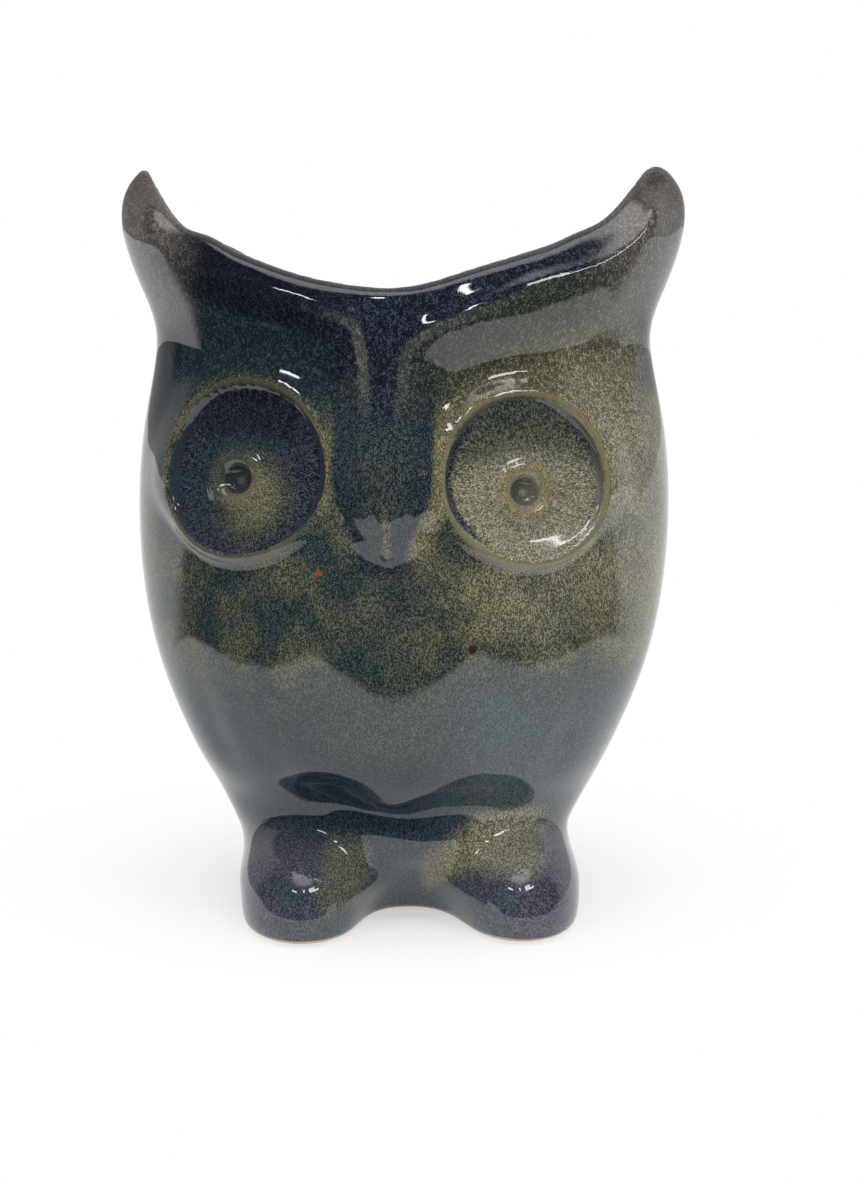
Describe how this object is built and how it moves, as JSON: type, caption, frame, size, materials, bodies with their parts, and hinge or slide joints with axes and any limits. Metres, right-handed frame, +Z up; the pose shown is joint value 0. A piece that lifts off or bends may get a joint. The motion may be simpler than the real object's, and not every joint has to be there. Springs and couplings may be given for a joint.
{
  "type": "coin bank",
  "caption": "Hollow glazed stoneware owl bank with dished crown and coin slot between its horns, and a rubber stopper in the base",
  "frame": {"origin": "middle of the bounding box, on the surface that the bumpers stand on", "axes": "+Z up along the owl's height, the face looks along -Y, the horns spread along X"},
  "size_m": [0.2156, 0.1711, 0.285],
  "materials": {
    "reactive_glaze": "very glossy reactive glaze, navy to olive, breaking tan on the ridges",
    "stopper_rubber": "matte moulded rubber",
    "bumper_rubber": "matte rubber"
  },
  "bodies": {
    "owl": {"owl_body": "reactive_glaze", "foot_pad_front_left": "bumper_rubber", "foot_pad_front_right": "bumper_rubber", "foot_pad_rear_left": "bumper_rubber", "foot_pad_rear_right": "bumper_rubber"},
    "stopper": {"base_stopper": "stopper_rubber"}
  },
  "joints": [
    {"name": "stopper_slide", "type": "slide", "parent": "owl", "child": "stopper", "axis": [0, 0, -1], "range_m": [0, 0.03]}
  ]
}
